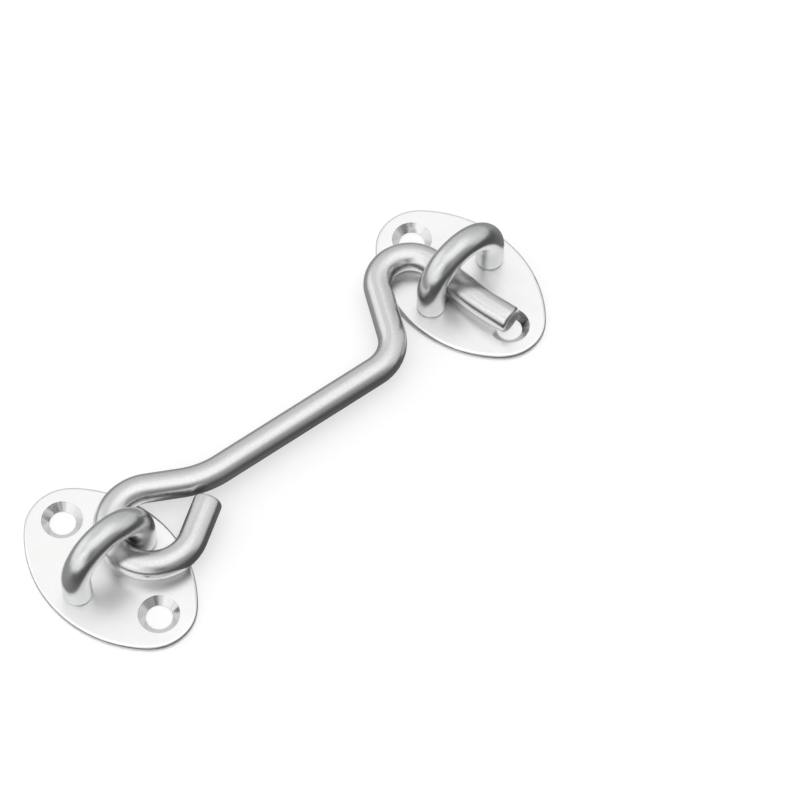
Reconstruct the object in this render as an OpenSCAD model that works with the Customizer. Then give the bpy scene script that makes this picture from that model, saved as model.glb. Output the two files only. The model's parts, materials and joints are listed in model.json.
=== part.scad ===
// Hook and eye latch: a bent rod hook that hangs on one riveted wire staple and drops through another.
// The frame: origin at the middle of the eye plate's back, +X towards the catch, +Y along the plates,
// +Z out of the plates. The hook is drawn latched.

/* [Hook rod] */
// Diameter of the hook's rod
rod_d = 5; // [4:0.1:6]
// Radius of the rounded rims at the rod's two cut ends
rod_rim_r = 0.6; // [0.2:0.1:1.2]
// Clear width of the eye
eye_inner_d = 9.8; // [9:0.2:13]
// Half of the angle at which the eye's two strands close
eye_flank_deg = 31; // [26:0.5:36]
// Gap between the eye's cut end and the strand that it closes on
eye_end_gap = 0.4; // [0.3:0.1:2]
// Straight length of the eye's long strand, up to the neck bend
strand_l = 6; // [3:0.2:12]
// Turn from the eye's long strand into the shank
neck_turn_deg = 26.5; // [18:0.5:32]
// Centre-line radius of the neck bend
neck_r = 16; // [10:1:24]
// Straight length of the shank
shank_l = 32.3; // [20:0.1:110]
// Turn from the shank into the crank's riser
crank_turn_deg = 68; // [55:1:75]
// Inner radius of the crank bend
crank_inner_r = 4.7; // [3:0.1:8]
// Straight length of the riser
riser_l = 9; // [6:0.2:14]
// Turn of the throat, from the riser round to the tip
throat_turn_deg = 147.5; // [138:0.5:156]
// Straight length of the tip, from the throat to the flare
tip_l = 9; // [7:0.2:14]
// Turn of the flare at the end of the tip
flare_turn_deg = 8; // [4:1:30]
// Centre-line radius of the flare
flare_r = 36; // [12:1:50]
// Straight length past the flare, to the rod's cut end
end_l = 4; // [1.2:0.1:8]

/* [Staples] */
// Diameter of the staples' wire
wire_d = 5; // [4:0.1:6]
// Clear width between a staple's legs
staple_gap = 9.3; // [8.8:0.1:14]
// Clear height under a staple's arch, above the plate
staple_clear_h = 8.8; // [8.2:0.1:16]
// Diameter of the tenon that is riveted through the plate
tenon_d = 3.8; // [3:0.1:4.2]
// Diameter of the peened head at the plate's back
peen_d = 5.4; // [4.8:0.1:6]
// Depth of the peened head
peen_h = 0.7; // [0.4:0.1:0.9]

/* [Plates] */
// Length of a plate
plate_l = 36.2; // [34:0.2:50]
// Width of a plate
plate_w = 24; // [22:0.2:28]
// Corner radius at the ends of a plate's outline
plate_end_r = 7.7; // [5:0.1:9]
// Thickness of a plate
plate_t = 1.4; // [1.3:0.1:3]
// Radius of the rounded front edge
plate_edge_r = 0.5; // [0.2:0.1:0.8]
// Distance between a plate's screw holes
screw_pitch = 24.6; // [23:0.2:32]
// Diameter of the screw holes
screw_hole_d = 4.5; // [3.5:0.1:5]
// Diameter of the countersinks at the plate's front
countersink_d = 7.1; // [6:0.1:8.4]
// Depth of the countersinks
countersink_h = 1.2; // [0.6:0.1:1.2]

/* [Fits] */
// Gap between the hook and the staple legs that it bears on
bearing_gap = 0.25; // [0.15:0.05:1]
// Gap between the latched hook and the plates under it
rest_gap = 0.2; // [0.15:0.05:1]
// How much larger the throat's inner radius is than the wire's radius
throat_play = 0.7; // [0.4:0.1:2]
// Height of the throat's centre above the catch leg that it drops over, when latched
throat_rise = 4.5; // [4:0.1:7]
// Radial gap between a tenon and its hole
tenon_gap = 0.05; // [0.02:0.01:0.2]

/* [Hidden] */
$fn = 96;
cut_past = 1;
// A bend is a hair fuller than the straights, and they run a little way into it, so that they join cleanly
join_past = 0.05;
join_swell = 0.01;
// The discs at a plate's ends stand a hair inside the tangent arcs, so that they meet the sides cleanly
end_step = 0.02;
plate_colour = [0.88, 0.88, 0.87];
staple_colour = [0.70, 0.71, 0.72];
rod_colour = [0.76, 0.76, 0.76];

// Staple, from the plate's front upwards
rod_r = rod_d / 2;
wire_r = wire_d / 2;
staple_pitch = staple_gap + wire_d;
arch_r = staple_pitch / 2;
leg_l = staple_clear_h + wire_r - arch_r;

// Plate outline of four tangent arcs
half_l = plate_l / 2;
half_w = plate_w / 2;
end_y = half_l - plate_end_r + end_step;
side_r = (half_w ^ 2 + end_y ^ 2 - plate_end_r ^ 2) / (2 * (half_w - plate_end_r));
side_x = side_r - half_w;
side_deg = atan2(end_y, side_x);

// Bends of the rod, at its centre-line
eye_r = eye_inner_d / 2 + rod_r;
crank_r = crank_inner_r + rod_r;
throat_r = wire_r + throat_play + rod_r;
eye_turn_deg = 180 + 2 * eye_flank_deg;

// The eye's tail ends where its corner comes within the end gap of the strand opposite
tail_short = (rod_r + eye_end_gap + rod_r * cos(2 * eye_flank_deg)) / sin(2 * eye_flank_deg);
tail_l = eye_r / tan(eye_flank_deg) - tail_short;

// The rod's bend list, from the eye's cut end to the tip: straight length, turn to the left, bend radius
THROAT = 3;
TIP = 4;
bends = [
    [tail_l, -eye_turn_deg, eye_r],
    [strand_l, neck_turn_deg, neck_r],
    [shank_l, crank_turn_deg, crank_r],
    [riser_l, -throat_turn_deg, throat_r],
    [tip_l, flare_turn_deg, flare_r],
];
start_heading = eye_turn_deg - neck_turn_deg;
start_place = eye_r * left_of(start_heading) - tail_l * ahead_of(start_heading);

// Latched place: the eye bears on the staple's near leg, and the throat stands over the catch leg
pivot = [staple_pitch / 2, 0];
pivot_on_hook = [-(eye_inner_d / 2 - wire_r - bearing_gap), 0];
throat_centre = bend_centre(THROAT) - pivot_on_hook;
latched_deg = asin(throat_rise / norm(throat_centre)) - atan2(throat_centre.y, throat_centre.x);
rod_z = plate_t + rest_gap + rod_r;

// The catch leg bears on the straight of the tip
tip_heading = heading(TIP) + latched_deg;
tip_place = pivot + turned(place(TIP) - pivot_on_hook, latched_deg);
tip_to_leg = rod_r + bearing_gap + wire_r;
catch_leg_x = tip_place.x - (tip_place.y * cos(tip_heading) - tip_to_leg) / sin(tip_heading);
catch_x = catch_leg_x + staple_pitch / 2;

function ahead_of(deg) = [cos(deg), sin(deg)];
function left_of(deg) = [-sin(deg), cos(deg)];
function turned(p, deg) = p.x * ahead_of(deg) + p.y * left_of(deg);

// Heading and place at the start of a row of the bend list, and the centre of its bend
function heading(i) = i == 0 ? start_heading : heading(i - 1) + bends[i - 1][1];
function bend_start(i) = place(i) + bends[i][0] * ahead_of(heading(i));
function bend_centre(i) = bend_start(i) + sign(bends[i][1]) * bends[i][2] * left_of(heading(i));
function place(i) = i == 0
    ? start_place
    : bend_centre(i - 1) - sign(bends[i - 1][1]) * bends[i - 1][2] * left_of(heading(i));

// Half of a disc's section, with its upper rim rounded
module rimmed_section(radius, height, rim) {
    square([radius - rim, height]);
    square([radius, height - rim]);
    translate([radius - rim, height - rim])
        circle(rim);
}

// Straight of the rod along +X, run into the bends at its two ends
module straight(length) {
    translate([-join_past, 0, 0])
        rotate([0, 90, 0])
            cylinder(h = length + 2 * join_past, r = rod_r);
}

// Straight of the rod along +X from a bend to a cut end, which has a rounded rim
module cut_end(length) {
    translate([-join_past, 0, 0])
        rotate([0, 90, 0])
            rotate_extrude()
                rimmed_section(rod_r, length + join_past, rod_rim_r);
}

// Round bar bent about Z, from the X axis round by the turn, which may be negative
module bent_bar(bend_r, turn, radius) {
    rotate(min(turn, 0))
        rotate_extrude(angle = abs(turn))
            translate([bend_r, 0])
                circle(radius);
}

// The whole rod with the centre of its eye at the origin and its shank along +X
module rod() {
    last = len(bends);
    translate(bend_start(0))
        rotate(start_heading + 180)
            cut_end(tail_l);
    for (i = [0 : last - 1])
        translate(bend_centre(i))
            rotate(heading(i) - sign(bends[i][1]) * 90)
                bent_bar(bends[i][2], bends[i][1], rod_r + join_swell);
    for (i = [1 : last - 1])
        translate(place(i))
            rotate(heading(i))
                straight(bends[i][0]);
    translate(place(last))
        rotate(heading(last))
            cut_end(end_l);
}

// The plate's outline is a long side arc each way and a short arc round each end, all with a rounded front edge
module plate_blank() {
    for (side = [0, 180])
        rotate(side) {
            translate([-side_x, 0])
                rotate(-side_deg)
                    rotate_extrude(angle = 2 * side_deg)
                        difference() {
                            rimmed_section(side_r, plate_t, plate_edge_r);
                            square([side_x, plate_t]);
                        }
            translate([0, end_y])
                rotate_extrude()
                    rimmed_section(plate_end_r - end_step, plate_t, plate_edge_r);
        }
}

module screw_hole() {
    translate([0, 0, -cut_past])
        cylinder(h = plate_t + 2 * cut_past, d = screw_hole_d);
    flank = (countersink_d - screw_hole_d) / 2 / countersink_h;
    translate([0, 0, plate_t - countersink_h])
        cylinder(
            h = countersink_h + cut_past,
            d1 = screw_hole_d,
            d2 = countersink_d + 2 * flank * cut_past
        );
}

// The tenon and its peened head, or with a gap the hole that they fill
module rivet(gap, past) {
    translate([0, 0, -past])
        cylinder(h = plate_t + 2 * past, d = tenon_d + 2 * gap);
    flank = (peen_d - tenon_d) / 2 / peen_h;
    translate([0, 0, -past])
        cylinder(
            h = peen_h + past,
            d1 = peen_d + 2 * gap + 2 * flank * past,
            d2 = tenon_d + 2 * gap
        );
}

module at_legs() {
    for (side = [-1, 1])
        translate([side * staple_pitch / 2, 0, 0])
            children();
}

module plate() {
    difference() {
        plate_blank();
        for (side = [-1, 1])
            translate([0, side * screw_pitch / 2, 0])
                screw_hole();
        at_legs()
            rivet(tenon_gap, cut_past);
    }
}

module staple() {
    at_legs()
        rivet(0, 0);
    at_legs()
        translate([0, 0, plate_t])
            cylinder(h = leg_l, r = wire_r);
    translate([0, 0, plate_t + leg_l])
        rotate([90, 0, 0])
            bent_bar(arch_r, 180, wire_r);
}

module eye_plate() {
    color(plate_colour)
        plate();
}

module eye_staple() {
    color(staple_colour)
        staple();
}

module hook_rod() {
    color(rod_colour)
        translate([pivot.x, pivot.y, rod_z])
            rotate(latched_deg)
                translate(-pivot_on_hook)
                    rod();
}

module catch_plate() {
    color(plate_colour)
        translate([catch_x, 0, 0])
            plate();
}

module catch_staple() {
    color(staple_colour)
        translate([catch_x, 0, 0])
            staple();
}

eye_plate();
eye_staple();
hook_rod();
catch_plate();
catch_staple();
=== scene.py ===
"""Hook and eye latch: the looks of the bent rod, the staples and the plates around the packed frame."""

import json
import math

import bmesh
import bpy
from bpy.props import FloatProperty, FloatVectorProperty, IntProperty, PointerProperty
from mathutils import Matrix, Vector


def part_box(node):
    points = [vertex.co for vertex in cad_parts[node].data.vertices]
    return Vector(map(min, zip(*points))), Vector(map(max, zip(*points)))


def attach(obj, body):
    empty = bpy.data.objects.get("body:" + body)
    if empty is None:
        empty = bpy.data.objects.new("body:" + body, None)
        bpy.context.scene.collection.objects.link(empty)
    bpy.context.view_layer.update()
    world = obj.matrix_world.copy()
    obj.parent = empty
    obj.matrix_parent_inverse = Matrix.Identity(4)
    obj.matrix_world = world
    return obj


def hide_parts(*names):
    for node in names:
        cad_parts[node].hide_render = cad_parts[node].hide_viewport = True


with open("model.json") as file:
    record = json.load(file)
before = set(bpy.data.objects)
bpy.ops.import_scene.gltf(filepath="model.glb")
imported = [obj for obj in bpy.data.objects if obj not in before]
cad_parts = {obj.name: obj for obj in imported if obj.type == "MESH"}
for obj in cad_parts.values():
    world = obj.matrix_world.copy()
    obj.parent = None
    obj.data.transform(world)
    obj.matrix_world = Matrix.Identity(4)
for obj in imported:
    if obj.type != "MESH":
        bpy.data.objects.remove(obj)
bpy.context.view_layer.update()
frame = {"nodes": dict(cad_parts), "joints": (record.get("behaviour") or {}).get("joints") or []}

bl_info = {
    "name": "Hook and Eye Latch",
    "version": (1, 0, 0),
    "blender": (4, 5, 0),
    "location": "3D View > Sidebar > Latch",
    "description": "Builds a bent steel hook and its riveted staples, and sets them on a studio floor",
    "category": "Object",
}

MM = 0.001

# Attribute that holds where a point is on a drawn wire: how far along it, and two ways out from its middle
DRAWN_PLACE = "drawn_place"

# Patterns of the drawn wire, per metre along it and two ways out
DRAW_LINES = (45, 3200, 3200)
DRAW_BANDS = (18, 700, 700)
WIRE_GRAIN = 2600

# Patterns of the rolled plates, per metre
PLATE_CLOUDS = 110
PLATE_SCUFFS = (1500, 260, 1500)
RING_WOBBLE = 300

# Noise lies mostly between these two values
NOISE_WIRE = (0.32, 0.68)
NOISE_PLATE = (0.3, 0.7)

# Depth of the relief in the steel, and the soft edges where one finish meets another
RELIEF_DEPTH = 0.02 * MM
CONE_EDGE = 0.02 * MM
CONE_FOOT = (0.02 * MM, 0.1 * MM)
END_EDGE = 0.1 * MM

# Edges sharper than this stay sharp, and bends turn by this much for each new ring
SHARP_EDGE = math.radians(32)
BEND_STEP = math.radians(3)
NECK_STEP = math.radians(2)
FLARE_STEP = math.radians(1.5)

# Weight of the angle round a bar against the length along it, when its points are sorted
ROUND_SHARE = 1e-6

# Heights of the floor and of the grey card over it
FLOOR_Z = -0.05 * MM
CARD_Z = 0.05 * MM

# How steeply a direction rises where the sky turns from rim to dome, and from dome to crown
SKY_DOME = (0, 0.7)
SKY_CROWN = (0.7, 0.93)

# Zones of the sky: the way they lie, the cosines at their edge and middle, and what they add to the light
SKY_ZONES = (
    ((-0.930, -0.210, 0.300), 0.80, 0.88, 0.42),
    ((-0.010, -0.978, 0.208), 0.74, 0.92, -0.46),
    ((0.616, 0.455, 0.643), 0.75, 0.95, -0.15),
    ((-0.047, 0.420, 0.906), 0.93, 0.985, -0.30),
    ((-0.595, -0.629, 0.500), 0.92, 0.98, -0.42),
    ((-0.560, 0.803, 0.200), 0.80, 0.93, 0.35),
)

# Where the packed frame puts the catch plate's middle, the pivot and the rod's height
CATCH_X = sum(corner[0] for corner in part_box("catch_plate")) / 2
ROD_Z = sum(corner[2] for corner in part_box("hook_rod")) / 2
PIVOT = Vector(frame["joints"][0]["pos_m"])


def length(name, description, default_mm):
    """A length in millimetres as a property in metres."""
    default = default_mm * MM
    return FloatProperty(name=name, description=description, default=default, unit="LENGTH", precision=5)


def angle(name, description, default_deg):
    """An angle in degrees as a property."""
    default = math.radians(default_deg)
    return FloatProperty(name=name, description=description, default=default, subtype="ANGLE")


def factor(name, description, default):
    """A plain number from 0 to 1."""
    return FloatProperty(name=name, description=description, default=default, min=0, max=1, subtype="FACTOR")


def colour(name, description, default):
    """A linear colour."""
    return FloatVectorProperty(
        name=name, description=description, default=default, size=3, min=0, max=1, subtype="COLOR"
    )


class LatchRod(bpy.types.PropertyGroup):
    """Sizes of the hook's rod and of its bends"""

    ring: IntProperty(name="Ring", description="Corners round the rod", default=64, min=12)
    rod_r: length("Rod radius", "Radius of the hook's rod", 2.5)
    rim_r: length("Rim radius", "Radius of the rounded rims at the cut ends", 0.6)
    eye_r: length("Eye radius", "Centre-line radius of the eye", 7.4)
    eye_flank: angle("Eye flank", "Half of the angle at which the eye's strands close", 31)
    tail_l: length("Tail length", "Straight length from the eye's cut end", 7.70194)
    strand_l: length("Strand length", "Straight length of the eye's long strand", 6)
    neck_turn: angle("Neck turn", "Turn from the long strand into the shank", 26.5)
    neck_r: length("Neck radius", "Centre-line radius of the neck bend", 16)
    shank_l: length("Shank length", "Straight length of the shank", 32.3)
    crank_turn: angle("Crank turn", "Turn from the shank into the riser", 68)
    crank_r: length("Crank radius", "Centre-line radius of the crank bend", 7.2)
    riser_l: length("Riser length", "Straight length of the riser", 9)
    throat_turn: angle("Throat turn", "Turn of the throat, from the riser to the tip", 147.5)
    throat_r: length("Throat radius", "Centre-line radius of the throat", 5.7)
    tip_l: length("Tip length", "Straight length of the tip up to the flare", 9)
    flare_turn: angle("Flare turn", "Turn of the flare at the tip", 8)
    flare_r: length("Flare radius", "Centre-line radius of the flare", 36)
    end_l: length("End length", "Straight length past the flare", 4)
    bearing: length("Bearing offset", "From the pivot to the eye's centre", 2.15)
    latched: angle("Latched heading", "Heading of the latched shank", -7.33161)


class LatchStaple(bpy.types.PropertyGroup):
    """Sizes of the two staples"""

    ring: IntProperty(name="Ring", description="Corners round the wire", default=64, min=12)
    wire_r: length("Wire radius", "Radius of the staples' wire", 2.5)
    foot_r: length("Foot radius", "Radius of the rounded edges where the legs stand on the plate", 0.35)
    pitch: length("Leg pitch", "Distance between a staple's legs", 14.3)
    leg_l: length("Leg length", "Straight length of a leg above the plate", 4.15)
    plate_t: length("Plate thickness", "Thickness of the plate that the tenons go through", 1.4)
    tenon_r: length("Tenon radius", "Radius of the riveted tenons", 1.9)
    peen_r: length("Peen radius", "Radius of the peened heads at the back", 2.7)
    peen_h: length("Peen depth", "Depth of the peened heads", 0.7)
    dull_r: length("Dull radius", "Radius of the duller middle of the peened heads", 1.75)


class LatchFinish(bpy.types.PropertyGroup):
    """Colours and finishes of the steel"""

    rod_colour: colour("Rod", "Satin drawn steel of the hook", (0.70, 0.70, 0.70))
    rod_rough: factor("Rod roughness", "Roughness of the hook's satin steel", 0.24)
    rod_streak: factor("Rod streaks", "How much the hook's drawing lines vary its colour", 0.08)
    rod_relief: factor("Rod relief", "How deep the hook's drawing lines look", 0.12)
    staple_colour: colour("Staples", "Polished steel of the staples", (0.66, 0.665, 0.67))
    staple_rough: factor("Staple roughness", "Roughness of the staples' polished steel", 0.24)
    staple_streak: factor("Staple streaks", "How much the staples' drawing lines vary their colour", 0.05)
    staple_relief: factor("Staple relief", "How deep the staples' drawing lines look", 0.07)
    # Darker colour of the cut and peened ends: partly duller cut steel, partly painted shade on the end faces
    end_dull_and_shade: factor("End shade", "Colour of the cut and peened ends, against the wire's", 0.55)
    end_rough: factor("End roughness", "Roughness of the cut and peened ends", 0.4)
    plate_colour: colour("Plates", "Bright steel of the plates", (0.95, 0.95, 0.945))
    plate_rough: factor("Plate roughness", "Roughness of the plates' bright steel", 0.33)
    plate_relief: factor("Plate relief", "How deep the plates' scuffs and cutter rings look", 0.12)


class LatchPlate(bpy.types.PropertyGroup):
    """Sizes on the plates that their finish follows"""

    plate_l: length("Length", "Length of a plate", 36.2)
    plate_w: length("Width", "Width of a plate", 24)
    end_r: length("End radius", "Radius of a plate's two ends", 7.7)
    screw_pitch: length("Screw pitch", "Distance between a plate's screw holes", 24.6)
    countersink_r: length("Countersink radius", "Radius of the countersinks at the front", 3.55)
    ring_pitch: length("Ring pitch", "Distance between the cutter's rings in a countersink", 0.32)


class LatchStage(bpy.types.PropertyGroup):
    """The camera, the floor and the studio light"""

    aim: FloatVectorProperty(
        name="Aim",
        description="Point that the camera looks at",
        default=(0.05806, -0.00949, 0),
        subtype="TRANSLATION",
    )
    azimuth: angle("Azimuth", "Turn of the camera round the latch", -43.58)
    elevation: angle("Elevation", "Height of the camera above the floor", 59.74)
    distance: length("Distance", "From the camera to its aim", 621.53)
    lens: FloatProperty(
        name="Lens", description="Focal length on a 36 mm sensor", default=162, subtype="DISTANCE_CAMERA"
    )
    floor_r: length("Floor radius", "Radius of the floor", 1500)
    floor_colour: colour("Floor", "Colour of the floor", (0.56, 0.56, 0.56))
    floor_glow: factor("Floor glow", "What the camera and reflections see added to the floor", 0.50)
    card_rim: colour("Card rim", "Colour of the grey card round the plates", (0.92, 0.92, 0.92))
    card_front: colour("Card front", "Colour of the grey card before the latch", (0.09, 0.09, 0.09))
    card_back: colour("Card back", "Colour of the grey card behind the latch", (0.36, 0.36, 0.36))
    fade_front: length("Fade front", "Where the card's front colour starts to fade, across the latch", -15)
    fade_back: length("Fade back", "Where the card has its back colour, across the latch", 8)
    rim_w: length("Rim width", "Width of the card's rim, which fades over as much again", 0.25)
    sky_rim: factor("Sky rim", "Light from the horizon", 0.65)
    sky_dome: factor("Sky dome", "Light from high up", 0.97)
    sky_crown: factor("Sky crown", "Light added overhead", 0.33)


class Shade:
    """An output socket of a node tree, so that shader maths reads as Python."""

    def __init__(self, tree, socket=None):
        self.tree = tree
        self.socket = socket

    def node(self, kind, settings=None, inputs=None, output=0):
        """Adds a node, sets it up, fills its sockets with values or links, and returns one of its outputs."""
        made = self.tree.nodes.new(kind)
        for name, value in (settings or {}).items():
            setattr(made, name, value)
        for name, value in (inputs or {}).items():
            if isinstance(value, Shade):
                self.tree.links.new(value.socket, made.inputs[name])
            else:
                made.inputs[name].default_value = value
        return Shade(self.tree, made.outputs[output]) if made.outputs else None

    def math(self, operation, *values):
        """A Math node on these values."""
        return self.node("ShaderNodeMath", {"operation": operation}, dict(enumerate(values)))

    def __add__(self, other):
        return self.math("ADD", self, other)

    def __radd__(self, other):
        return self.math("ADD", other, self)

    def __sub__(self, other):
        return self.math("SUBTRACT", self, other)

    def __rsub__(self, other):
        return self.math("SUBTRACT", other, self)

    def __mul__(self, other):
        return self.math("MULTIPLY", self, other)

    def __rmul__(self, other):
        return self.math("MULTIPLY", other, self)

    def __gt__(self, other):
        return self.math("GREATER_THAN", self, other)

    def __abs__(self):
        return self.math("ABSOLUTE", self)

    def far(self, other):
        """The length of the diagonal over this and another value."""
        return self.math("SQRT", self * self + other * other)

    def smooth(self, low, high):
        """0 below low, 1 above high, and a smooth step between them."""
        return self.node(
            "ShaderNodeMapRange",
            {"interpolation_type": "SMOOTHSTEP"},
            {"Value": self, "From Min": low, "From Max": high, "To Min": 0, "To Max": 1},
        )

    def spread(self, low, high, to_low, to_high):
        """Maps low to high onto to_low to to_high, clamped."""
        return self.node(
            "ShaderNodeMapRange",
            None,
            {"Value": self, "From Min": low, "From Max": high, "To Min": to_low, "To Max": to_high},
        )

    def stretched(self, x, y, z):
        """This vector with each part multiplied by its own number."""
        return self.node("ShaderNodeVectorMath", {"operation": "MULTIPLY"}, {0: self, 1: (x, y, z)})

    def noise(self, scale, detail, roughness=0.5):
        """Noise of this vector."""
        inputs = {"Vector": self, "Scale": scale, "Detail": detail, "Roughness": roughness}
        return self.node("ShaderNodeTexNoise", None, inputs)

    def parts(self):
        """The three parts of this vector."""
        return self.node("ShaderNodeSeparateXYZ", None, {"Vector": self}).split().values()

    def tint(self, low, high):
        """A colour from low to high by this value."""
        ends = [end if isinstance(end, Shade) else (*end, 1) for end in (low, high)]
        return self.node("ShaderNodeMix", {"data_type": "RGBA"}, {0: self, 6: ends[0], 7: ends[1]}, 2)

    def split(self):
        """All the outputs of this output's node, by name."""
        return {socket.name: Shade(self.tree, socket) for socket in self.socket.node.outputs}


def new_material(name):
    """An empty material, and a Shade to build it with."""
    material = bpy.data.materials.new(name)
    material.use_nodes = True
    material.node_tree.nodes.clear()
    return material, Shade(material.node_tree)


def scaled(shade, by):
    """A colour made darker or lighter by a number."""
    return tuple(min(part * by, 1) for part in shade)


def drawn_steel(name, base, rough, streak, relief, end_r, finish):
    """Steel wire with drawing lines that follow it round its bends, and duller, darker ends within a radius;
    their darker colour is partly the cut steel and partly painted shade.
    """
    material, make = new_material(name)
    place = make.node("ShaderNodeAttribute", {"attribute_name": DRAWN_PLACE}, output="Vector")
    lines = place.stretched(*DRAW_LINES).noise(1, 4, 0.65)
    bands = place.stretched(*DRAW_BANDS).noise(1, 2)
    grain = place.noise(WIRE_GRAIN, 3)
    shade = lines * 0.35 + bands * 0.3 + grain * 0.35
    level = shade.spread(*NOISE_WIRE, 0, 1)
    _, out, up = place.parts()
    side = out.far(up).smooth(end_r - END_EDGE, end_r + END_EDGE)
    drawn = level.tint(scaled(base, 1 - streak), scaled(base, 1 + streak))
    drawn_rough = level.spread(0, 1, rough * 1.2, rough * 0.85)
    height = lines * 0.8 + grain * 0.2
    bump = make.node("ShaderNodeBump", None, {"Strength": relief, "Distance": RELIEF_DEPTH, "Height": height})
    steel = make.node(
        "ShaderNodeBsdfPrincipled",
        None,
        {
            # Ends within the radius take the darker colour: partly duller cut steel, partly painted shade
            "Base Color": side.tint(scaled(base, finish.end_dull_and_shade), drawn),
            "Metallic": 1,
            "Roughness": drawn_rough * side + (1 - side) * finish.end_rough,
            "Normal": bump,
        },
    )
    make.node("ShaderNodeOutputMaterial", None, {"Surface": steel})
    return material


def from_plate_middle(x):
    """How far a place is from the middle of its plate, along the latch."""
    return abs(x - CATCH_X * (x > CATCH_X / 2))


def past_plate(place, plate):
    """How far a place on the floor is outside its plate's outline of two side arcs and two end discs."""
    end_y = plate.plate_l / 2 - plate.end_r
    half_w = plate.plate_w / 2
    side_r = (half_w**2 + end_y**2 - plate.end_r**2) / (2 * (half_w - plate.end_r))
    side_x = side_r - half_w
    x, y, _ = place.parts()
    x, y = from_plate_middle(x), abs(y)
    past_side = (x + side_x).far(y) - side_r
    past_end = x.far(y - end_y) - plate.end_r
    return past_side + (past_end - past_side) * (y * side_x > (x + side_x) * end_y)


def plate_steel(name, finish, plate):
    """Bright rolled plate with a soft polish, and turned rings in its countersinks, whose darker colour is
    partly bare cut steel and partly painted shade.
    """
    base, rough = finish.plate_colour, finish.plate_rough
    material, make = new_material(name)
    place = make.node("ShaderNodeTexCoord", None, None, "Object")
    x, y, z = place.parts()
    radius = from_plate_middle(x).far(abs(y) - plate.screw_pitch / 2)
    inside = 1 - radius.smooth(plate.countersink_r - CONE_EDGE, plate.countersink_r + CONE_EDGE)
    cone = inside * z.smooth(*CONE_FOOT)
    wobble = place.noise(RING_WOBBLE, 2) * 0.2
    rings = make.math("SINE", radius * (2 * math.pi / plate.ring_pitch) + wobble * 2 * math.pi)
    clouds = place.noise(PLATE_CLOUDS, 3)
    scuffs = place.stretched(*PLATE_SCUFFS).noise(1, 4, 0.6)
    level = (clouds * 0.6 + scuffs * 0.4).spread(*NOISE_PLATE, 0, 1)
    flat = level.tint(scaled(base, 0.965), scaled(base, 1.02))
    # Darker colour in the countersinks: partly the bare cut steel, partly painted shade in the hollow of each
    # countersink
    cut = rings.spread(-1, 1, 0, 1).tint(scaled(base, 0.70), scaled(base, 0.76))
    flat_rough = level.spread(0, 1, rough * 1.12, rough * 0.9)
    cut_rough = rings.spread(-1, 1, 0.11, 0.15)
    height = scuffs * 0.08 * (1 - cone) + rings * 0.35 * cone
    bump = make.node(
        "ShaderNodeBump", None, {"Strength": finish.plate_relief, "Distance": RELIEF_DEPTH, "Height": height}
    )
    steel = make.node(
        "ShaderNodeBsdfPrincipled",
        None,
        {
            "Base Color": cone.tint(flat, cut),
            "Metallic": 1,
            "Roughness": flat_rough * (1 - cone) + cut_rough * cone,
            "Normal": bump,
        },
    )
    make.node("ShaderNodeOutputMaterial", None, {"Surface": steel})
    return material


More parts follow.
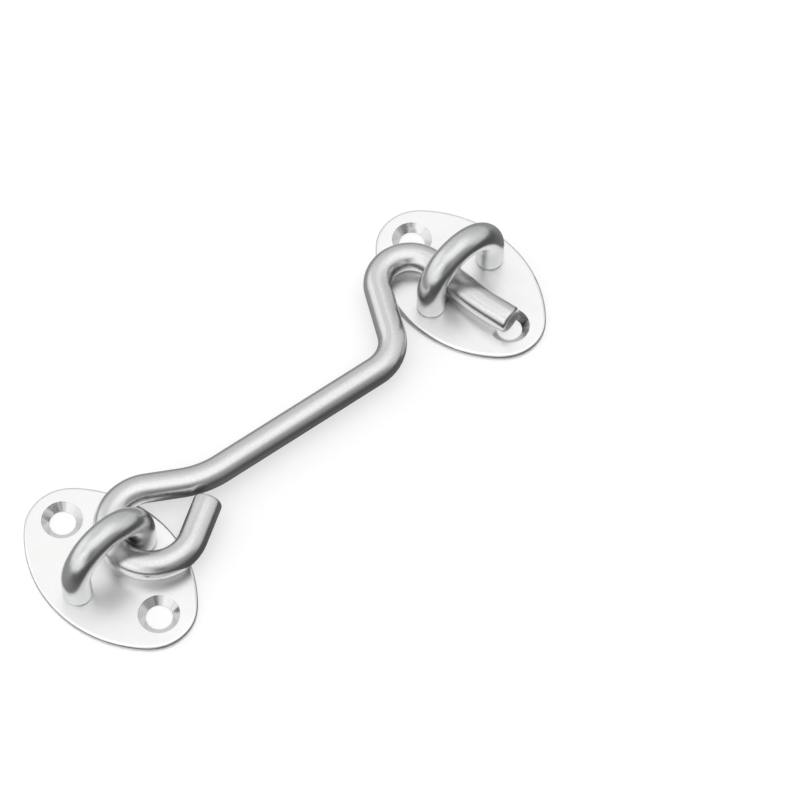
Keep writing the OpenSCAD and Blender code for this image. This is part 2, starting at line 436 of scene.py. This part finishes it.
class Bar:
    """A round bar swept from one end to the other by extruding and spinning its last ring."""

    def __init__(self, corners, start, heading, across):
        """Starts at a place, going along heading; across is the ring's first direction."""
        self.bm = bmesh.new()
        self.layer = self.bm.verts.layers.float_vector.new(DRAWN_PLACE)
        self.corners = corners
        self.place = Vector(start)
        self.heading = Vector(heading)
        self.across = Vector(across)
        self.along = 0.0
        self.radius = 0.0
        self.ring = []

    def open(self, radius):
        """The flat face that the bar starts with."""
        side = self.heading.cross(self.across)
        axes = Matrix((self.across, side, self.heading)).transposed().to_4x4()
        made = bmesh.ops.create_circle(
            self.bm,
            cap_ends=True,
            segments=self.corners,
            radius=radius,
            matrix=Matrix.Translation(self.place) @ axes,
        )
        for vert in made["verts"]:
            arm = vert.co - self.place
            vert[self.layer] = (0, arm.dot(self.across), arm.dot(side))
        self.radius = radius
        self.ring = list(dict.fromkeys(edge for vert in made["verts"] for edge in vert.link_edges))

    def corner_verts(self):
        """The corners of the last ring."""
        return list(dict.fromkeys(vert for edge in self.ring for vert in edge.verts))

    def advance(self, made, step):
        """Takes the new ring as the last one, and writes how far along the bar it is."""
        verts = [item for item in made if isinstance(item, bmesh.types.BMVert)]
        found = set(verts)
        self.ring = [
            item
            for item in made
            if isinstance(item, bmesh.types.BMEdge) and all(vert in found for vert in item.verts)
        ]
        self.along += step
        for vert in verts:
            vert[self.layer].x = self.along
        return verts

    def taper(self, length, radius):
        """Extrudes the last ring along the heading to a ring of another radius."""
        made = bmesh.ops.extrude_edge_only(self.bm, edges=self.ring)["geom"]
        verts = self.advance(made, max(length, abs(radius - self.radius)))
        grow = radius / self.radius
        for vert in verts:
            vert[self.layer].y *= grow
            vert[self.layer].z *= grow
        to_ring = Matrix.Translation(-self.place)
        bmesh.ops.scale(self.bm, verts=verts, vec=(grow, grow, grow), space=to_ring)
        bmesh.ops.translate(self.bm, verts=verts, vec=self.heading * length)
        self.place = self.place + self.heading * length
        self.radius = radius

    def rim(self, rim_r, opening, steps=6):
        """A rounded rim, from the flat end outwards or from the side inwards."""
        outer = self.radius + rim_r if opening else self.radius
        quarter = math.pi / 2
        ahead = 0.0
        for step in range(1, steps + 1):
            turn = quarter * step / steps
            if opening:
                radius = outer - rim_r + rim_r * math.sin(turn)
                reach = rim_r * (1 - math.cos(turn))
            else:
                radius = outer - rim_r + rim_r * math.cos(turn)
                reach = rim_r * math.sin(turn)
            self.taper(reach - ahead, radius)
            ahead = reach

    def straight(self, length, steps=1):
        """A straight run."""
        for _ in range(steps):
            self.taper(length / steps, self.radius)

    def bend(self, turn, bend_r, axis, per_step=BEND_STEP):
        """A bend about an axis, to the left for a turn above zero."""
        axis = Vector(axis)
        left = axis.cross(self.heading)
        centre = self.place + left * math.copysign(bend_r, turn)
        steps = math.ceil(abs(turn) / per_step)
        for _ in range(steps):
            made = bmesh.ops.spin(
                self.bm,
                geom=self.corner_verts() + self.ring,
                cent=centre,
                axis=axis,
                dvec=(0, 0, 0),
                angle=turn / steps,
                steps=1,
                use_merge=False,
                use_duplicate=False,
            )["geom_last"]
            self.advance(made, bend_r * abs(turn) / steps)
        spun = Matrix.Rotation(turn, 3, axis)
        self.place = centre + spun @ (self.place - centre)
        self.heading = spun @ self.heading

    def close(self):
        """The flat face that the bar ends with."""
        bmesh.ops.edgeloop_fill(self.bm, edges=self.ring)

    def put_in_order(self):
        """Sorts the mesh along the bar and round each ring, so that every run gives the same order."""

        def along_and_round(vert):
            along, out, up = vert[self.layer]
            return along + ROUND_SHARE * math.atan2(up, out)

        def by_corners(item):
            corners = [vert.index for vert in item.verts]
            return max(corners) * len(self.bm.verts) + min(corners)

        self.bm.verts.sort(key=along_and_round)
        self.bm.verts.index_update()
        for items in (self.bm.edges, self.bm.faces):
            items.sort(key=by_corners)
            items.index_update()

    def piece(self, name, material, body, node):
        """The finished bar as an object that stands for its CAD node."""
        bmesh.ops.remove_doubles(self.bm, verts=self.bm.verts, dist=1e-8)
        bmesh.ops.recalc_face_normals(self.bm, faces=self.bm.faces)
        self.put_in_order()
        mesh = bpy.data.meshes.new(name)
        self.bm.to_mesh(mesh)
        self.bm.free()
        mesh.shade_smooth()
        mesh.set_sharp_from_angle(angle=SHARP_EDGE)
        mesh.materials.append(material)
        made = bpy.data.objects.new(name, mesh)
        bpy.context.scene.collection.objects.link(made)
        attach(made, body)
        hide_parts(node)
        return made


def heading_vector(turn):
    """A direction in the plates' plane."""
    return Vector((math.cos(turn), math.sin(turn), 0))


class LATCH_OT_hook(bpy.types.Operator):
    """Builds the bent hook: eye, neck, shank, crank, throat and flared tip"""

    bl_idname = "latch.hook"
    bl_label = "Hook"
    bl_options = {"REGISTER", "UNDO"}

    def execute(self, context):
        rod = context.scene.latch_rod
        finish = context.scene.latch_finish
        up = Vector((0, 0, 1))
        eye_turn = math.pi + 2 * rod.eye_flank
        heading = eye_turn - rod.neck_turn + rod.latched
        eye_centre = Vector((PIVOT.x, PIVOT.y, ROD_Z)) + rod.bearing * heading_vector(rod.latched)
        ahead = heading_vector(heading)
        start = eye_centre + rod.eye_r * up.cross(ahead) - rod.tail_l * ahead
        bar = Bar(rod.ring, start, ahead, up)
        bar.open(rod.rod_r - rod.rim_r)
        bar.rim(rod.rim_r, opening=True)
        bar.straight(rod.tail_l - rod.rim_r, steps=4)
        bar.bend(-eye_turn, rod.eye_r, up)
        bar.straight(rod.strand_l, steps=3)
        bar.bend(rod.neck_turn, rod.neck_r, up, NECK_STEP)
        bar.straight(rod.shank_l, steps=12)
        bar.bend(rod.crank_turn, rod.crank_r, up)
        bar.straight(rod.riser_l, steps=4)
        bar.bend(-rod.throat_turn, rod.throat_r, up)
        bar.straight(rod.tip_l, steps=4)
        bar.bend(rod.flare_turn, rod.flare_r, up, FLARE_STEP)
        bar.straight(rod.end_l - rod.rim_r)
        bar.rim(rod.rim_r, opening=False)
        bar.close()
        steel = drawn_steel(
            "satin_rod_steel",
            finish.rod_colour,
            finish.rod_rough,
            finish.rod_streak,
            finish.rod_relief,
            rod.rod_r - rod.rim_r,
            finish,
        )
        bar.piece("hook_bar", steel, "hook", "hook_rod")
        return {"FINISHED"}


class LATCH_OT_staples(bpy.types.Operator):
    """Builds the two riveted staples, from one peened head over the arch to the other"""

    bl_idname = "latch.staples"
    bl_label = "Staples"
    bl_options = {"REGISTER", "UNDO"}

    def execute(self, context):
        staple = context.scene.latch_staple
        finish = context.scene.latch_finish
        steel = drawn_steel(
            "polished_staple_steel",
            finish.staple_colour,
            finish.staple_rough,
            finish.staple_streak,
            finish.staple_relief,
            staple.dull_r,
            finish,
        )
        for name, node, middle in (("eye_loop", "eye_staple", 0), ("catch_loop", "catch_staple", CATCH_X)):
            start = (middle - staple.pitch / 2, 0, 0)
            bar = Bar(staple.ring, start, (0, 0, 1), (1, 0, 0))
            bar.open(staple.peen_r)
            bar.taper(staple.peen_h, staple.tenon_r)
            bar.straight(staple.plate_t - staple.peen_h)
            bar.taper(0, staple.wire_r - staple.foot_r)
            bar.rim(staple.foot_r, opening=True)
            bar.straight(staple.leg_l - staple.foot_r, steps=3)
            bar.bend(math.pi, staple.pitch / 2, (0, 1, 0))
            bar.straight(staple.leg_l - staple.foot_r, steps=3)
            bar.rim(staple.foot_r, opening=False)
            bar.taper(0, staple.tenon_r)
            bar.straight(staple.plate_t - staple.peen_h)
            bar.taper(staple.peen_h, staple.peen_r)
            bar.close()
            bar.piece(name, steel, "plates", node)
        return {"FINISHED"}


class LATCH_OT_plates(bpy.types.Operator):
    """Finishes the two plates, whose shape comes from the frame"""

    bl_idname = "latch.plates"
    bl_label = "Plates"
    bl_options = {"REGISTER", "UNDO"}

    def execute(self, context):
        scene = context.scene
        steel = plate_steel("bright_plate_steel", scene.latch_finish, scene.latch_plate)
        for name in ("eye_plate", "catch_plate"):
            for slot in frame["nodes"][name].material_slots:
                slot.material = steel
        return {"FINISHED"}


def stage_object(name, stage, height, material):
    """A disc on the ground, which isn't part of the latch."""
    bm = bmesh.new()
    spot = Matrix.Translation((stage.aim[0], stage.aim[1], height))
    bmesh.ops.create_circle(bm, cap_ends=True, segments=96, radius=stage.floor_r, matrix=spot)
    mesh = bpy.data.meshes.new(name)
    bm.to_mesh(mesh)
    bm.free()
    mesh.materials.append(material)
    made = bpy.data.objects.new(name, mesh)
    bpy.context.scene.collection.objects.link(made)
    return made


def matte(make, base, glow):
    """A matte surface; glow is what the camera and reflections see added to it."""
    rays = make.node("ShaderNodeLightPath").split()
    seen = make.math("MAXIMUM", rays["Is Camera Ray"], rays["Is Glossy Ray"])
    seen = make.math("MAXIMUM", seen, rays["Is Transmission Ray"])
    surface = make.node(
        "ShaderNodeBsdfPrincipled",
        None,
        {
            "Base Color": base,
            "Roughness": 0.9,
            "Specular IOR Level": 0.1,
            "Emission Color": seen.tint((0, 0, 0), (glow, glow, glow)),
            "Emission Strength": 1,
        },
    )
    make.node("ShaderNodeOutputMaterial", None, {"Surface": surface})


class LATCH_OT_stage(bpy.types.Operator):
    """Sets the camera, the floor and the studio light"""

    bl_idname = "latch.stage"
    bl_label = "Stage"
    bl_options = {"REGISTER", "UNDO"}

    def execute(self, context):
        scene = context.scene
        stage = scene.latch_stage
        scene.view_settings.view_transform = "Standard"
        self.add_floor(stage, scene.latch_plate)
        self.add_camera(scene, stage)
        self.add_light(scene, stage)
        return {"FINISHED"}

    def add_floor(self, stage, plate):
        """The pale floor, and the grey card over it, darker to the front, that only reflections see."""
        pale, make = new_material("pale_floor")
        matte(make, (*stage.floor_colour, 1), stage.floor_glow)
        stage_object("floor", stage, FLOOR_Z, pale)
        grey, make = new_material("grey_card")
        place = make.node("ShaderNodeTexCoord", None, None, "Object")
        _, y, _ = place.parts()
        shade = y.spread(stage.fade_front, stage.fade_back, 0, 1).tint(stage.card_front, stage.card_back)
        past_rim = past_plate(place, plate).smooth(stage.rim_w, 2 * stage.rim_w)
        matte(make, past_rim.tint(stage.card_rim, shade), 0)
        card = stage_object("card", stage, CARD_Z, grey)
        card.visible_camera = False
        card.visible_diffuse = False
        card.visible_shadow = False
        card.visible_transmission = False

    def add_camera(self, scene, stage):
        """The camera at the photograph's angle."""
        flat = math.cos(stage.elevation)
        back = Vector(
            (math.sin(stage.azimuth) * flat, -math.cos(stage.azimuth) * flat, math.sin(stage.elevation))
        )
        data = bpy.data.cameras.new("camera")
        data.lens = stage.lens
        data.sensor_width = 36
        data.clip_start = 0.01
        camera = bpy.data.objects.new("camera", data)
        camera.location = Vector(stage.aim) + back * stage.distance
        camera.rotation_euler = back.to_track_quat("Z", "Y").to_euler()
        scene.collection.objects.link(camera)
        scene.camera = camera

    def add_light(self, scene, stage):
        """A sky of soft light, brightest overhead, with the zones that the steel reflects."""
        world = bpy.data.worlds.new("studio")
        world.use_nodes = True
        world.node_tree.nodes.clear()
        make = Shade(world.node_tree)
        towards = make.node("ShaderNodeTexCoord", None, None, "Generated")
        x, y, z = towards.parts()
        level = z.spread(*SKY_DOME, stage.sky_rim, stage.sky_dome) + z.smooth(*SKY_CROWN) * stage.sky_crown
        for aim, low, high, gain in SKY_ZONES:
            facing = x * aim[0] + y * aim[1] + z * aim[2]
            level = level + facing.smooth(low, high) * gain
        shade = make.node("ShaderNodeCombineColor", None, {0: level, 1: level, 2: level})
        sky = make.node("ShaderNodeBackground", None, {"Color": shade, "Strength": 1})
        make.node("ShaderNodeOutputWorld", None, {"Surface": sky})
        scene.world = world


class LATCH_PT_panel(bpy.types.Panel):
    """Lists the steps that build the latch, and their settings"""

    bl_idname = "LATCH_PT_panel"
    bl_label = "Hook and Eye Latch"
    bl_space_type = "VIEW_3D"
    bl_region_type = "UI"
    bl_category = "Latch"

    def draw(self, context):
        for step in STEPS:
            self.layout.operator(step.bl_idname)
        for name, group in GROUPS.items():
            box = self.layout.box()
            box.label(text=group.__doc__)
            for setting in group.__annotations__:
                box.prop(getattr(context.scene, name), setting)


GROUPS = {
    "latch_rod": LatchRod,
    "latch_staple": LatchStaple,
    "latch_plate": LatchPlate,
    "latch_finish": LatchFinish,
    "latch_stage": LatchStage,
}
STEPS = (LATCH_OT_hook, LATCH_OT_staples, LATCH_OT_plates, LATCH_OT_stage)
CLASSES = (*GROUPS.values(), *STEPS, LATCH_PT_panel)


def register():
    """Registers the classes and hangs their settings on the scene."""
    for item in CLASSES:
        bpy.utils.register_class(item)
    for name, group in GROUPS.items():
        setattr(bpy.types.Scene, name, PointerProperty(type=group))


def unregister():
    """Takes the settings and the classes away again."""
    for name in GROUPS:
        delattr(bpy.types.Scene, name)
    for item in reversed(CLASSES):
        bpy.utils.unregister_class(item)


def main():
    """Builds the latch."""
    register()
    bpy.ops.latch.hook()
    bpy.ops.latch.staples()
    bpy.ops.latch.plates()
    bpy.ops.latch.stage()


if __name__ == "__main__":
    main()
